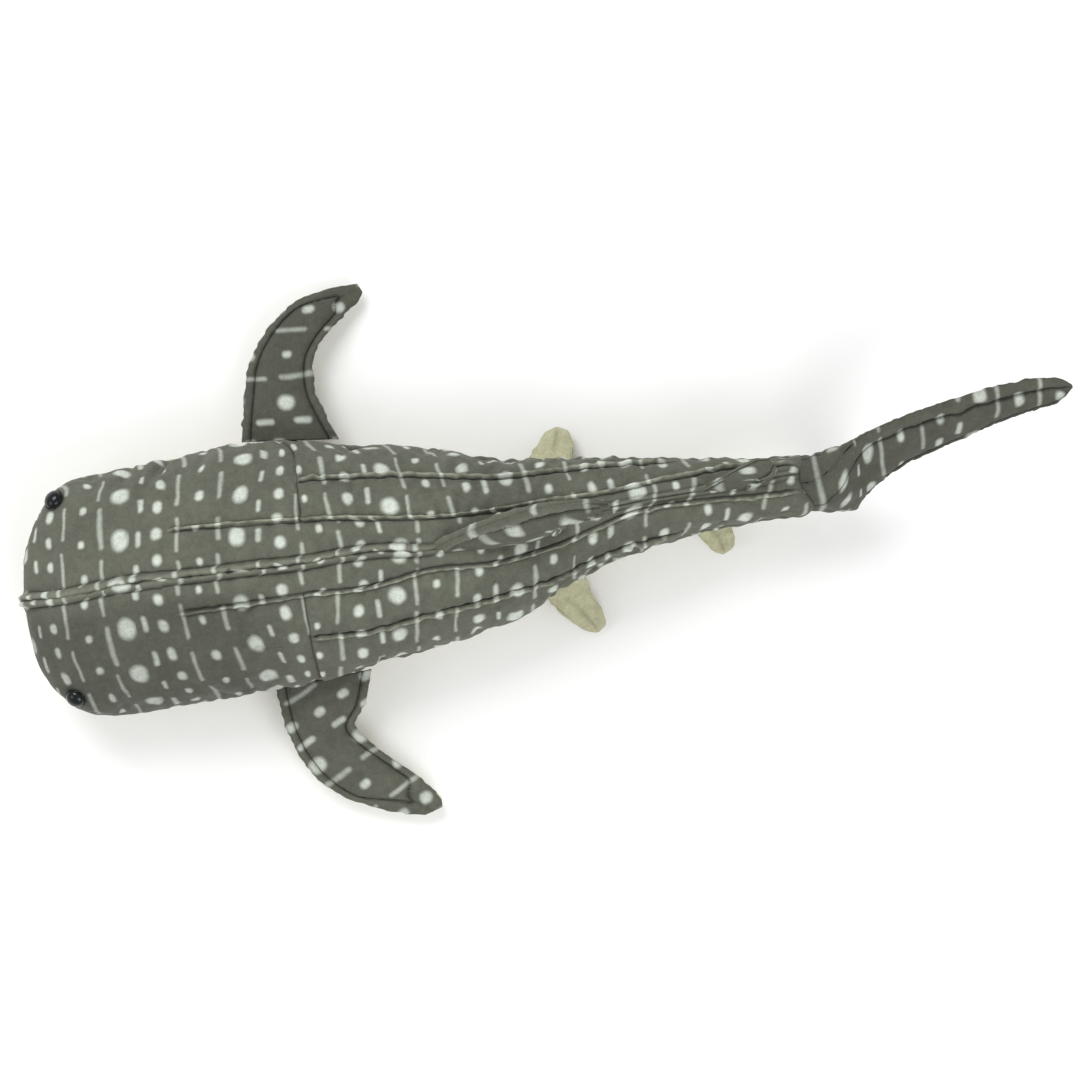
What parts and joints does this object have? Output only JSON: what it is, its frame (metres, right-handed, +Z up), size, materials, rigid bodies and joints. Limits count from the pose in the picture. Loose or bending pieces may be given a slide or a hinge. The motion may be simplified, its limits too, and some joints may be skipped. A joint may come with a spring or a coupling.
{
  "type": "plush shark",
  "caption": "Stuffed whale shark with a spotted grey back, cream belly, sewn-in fins that flap at their seams, and a bendable tail.",
  "frame": {"origin": "on the flat of the belly, under the middle of the trunk", "axes": "+X from nose to tail, +Y the shark's right side, +Z up out of the back"},
  "size_m": [0.5469, 0.2806, 0.1243],
  "materials": {
    "grey_plush": "matte",
    "cream_fleece": "matte",
    "fibre_fill": "matte",
    "black_eye": "gloss",
    "washer": "matte"
  },
  "bodies": {
    "trunk": {"crown_left": "grey_plush", "crown_right": "grey_plush", "flank_left": "grey_plush", "flank_right": "grey_plush", "side_left": "grey_plush", "side_right": "grey_plush", "belly": "cream_fleece", "trunk_stuffing": "fibre_fill", "eye_left": "black_eye", "eye_right": "black_eye", "eye_washer_left": "washer", "eye_washer_right": "washer"},
    "tail": {"tail_crown_left": "grey_plush", "tail_crown_right": "grey_plush", "tail_side_left": "grey_plush", "tail_side_right": "grey_plush", "tail_belly": "cream_fleece", "tail_stuffing": "fibre_fill"},
    "caudal": {"caudal_left": "grey_plush", "caudal_right": "grey_plush", "caudal_stuffing": "fibre_fill"},
    "pectoral_left": {"pectoral_left_top": "grey_plush", "pectoral_left_bottom": "cream_fleece", "pectoral_left_stuffing": "fibre_fill"},
    "pectoral_right": {"pectoral_right_top": "grey_plush", "pectoral_right_bottom": "cream_fleece", "pectoral_right_stuffing": "fibre_fill"},
    "dorsal": {"dorsal_left": "grey_plush", "dorsal_right": "grey_plush", "dorsal_stuffing": "fibre_fill"},
    "second_dorsal": {"second_dorsal_left": "grey_plush", "second_dorsal_right": "grey_plush"},
    "pelvic_left": {"pelvic_left_top": "cream_fleece", "pelvic_left_bottom": "cream_fleece"},
    "pelvic_right": {"pelvic_right_top": "cream_fleece", "pelvic_right_bottom": "cream_fleece"},
    "anal": {"anal_left": "cream_fleece", "anal_right": "cream_fleece"}
  },
  "joints": [
    {"name": "tail_bend", "type": "hinge", "parent": "trunk", "child": "tail", "pos_m": [0.17, 0.005, 0.0375], "axis": [0, 0, 1], "range_deg": [-20, 20], "stiffness_Nm_per_rad": 0.3},
    {"name": "caudal_swing", "type": "hinge", "parent": "tail", "child": "caudal", "pos_m": [0.267, 0.003, 0.041], "axis": [0, 0, 1], "range_deg": [-25, 25], "stiffness_Nm_per_rad": 0.1},
    {"name": "pectoral_left_flap", "type": "hinge", "parent": "trunk", "child": "pectoral_left", "pos_m": [-0.0015, -0.0648, 0.025], "axis": [-0.998, -0.0626, 0], "range_deg": [-20, 60], "stiffness_Nm_per_rad": 0.05},
    {"name": "pectoral_right_flap", "type": "hinge", "parent": "trunk", "child": "pectoral_right", "pos_m": [-0.0015, 0.0655, 0.025], "axis": [0.9944, -0.1053, 0], "range_deg": [-20, 60], "stiffness_Nm_per_rad": 0.05},
    {"name": "dorsal_lean", "type": "hinge", "parent": "trunk", "child": "dorsal", "pos_m": [0.1015, -0.00169, 0.07334], "axis": [0.9934, 0.0543, -0.1006], "range_deg": [-40, 40], "stiffness_Nm_per_rad": 0.03},
    {"name": "second_dorsal_lean", "type": "hinge", "parent": "tail", "child": "second_dorsal", "pos_m": [0.218, 0.0063, 0.06218], "axis": [0.997, -0.0397, -0.0658], "range_deg": [-30, 70], "stiffness_Nm_per_rad": 0.01},
    {"name": "pelvic_left_flap", "type": "hinge", "parent": "trunk", "child": "pelvic_left", "pos_m": [0.1295, -0.03037, 0.01333], "axis": [-0.9255, -0.3571, -0.1265], "range_deg": [-15, 35], "stiffness_Nm_per_rad": 0.01},
    {"name": "pelvic_right_flap", "type": "hinge", "parent": "trunk", "child": "pelvic_right", "pos_m": [0.1295, 0.03203, 0.01333], "axis": [0.9879, -0.0758, 0.135], "range_deg": [-15, 35], "stiffness_Nm_per_rad": 0.01},
    {"name": "anal_lean", "type": "hinge", "parent": "tail", "child": "anal", "pos_m": [0.206, -0.00495, 0.01774], "axis": [-0.9894, -0.0404, -0.1391], "range_deg": [-30, 30], "stiffness_Nm_per_rad": 0.01}
  ]
}
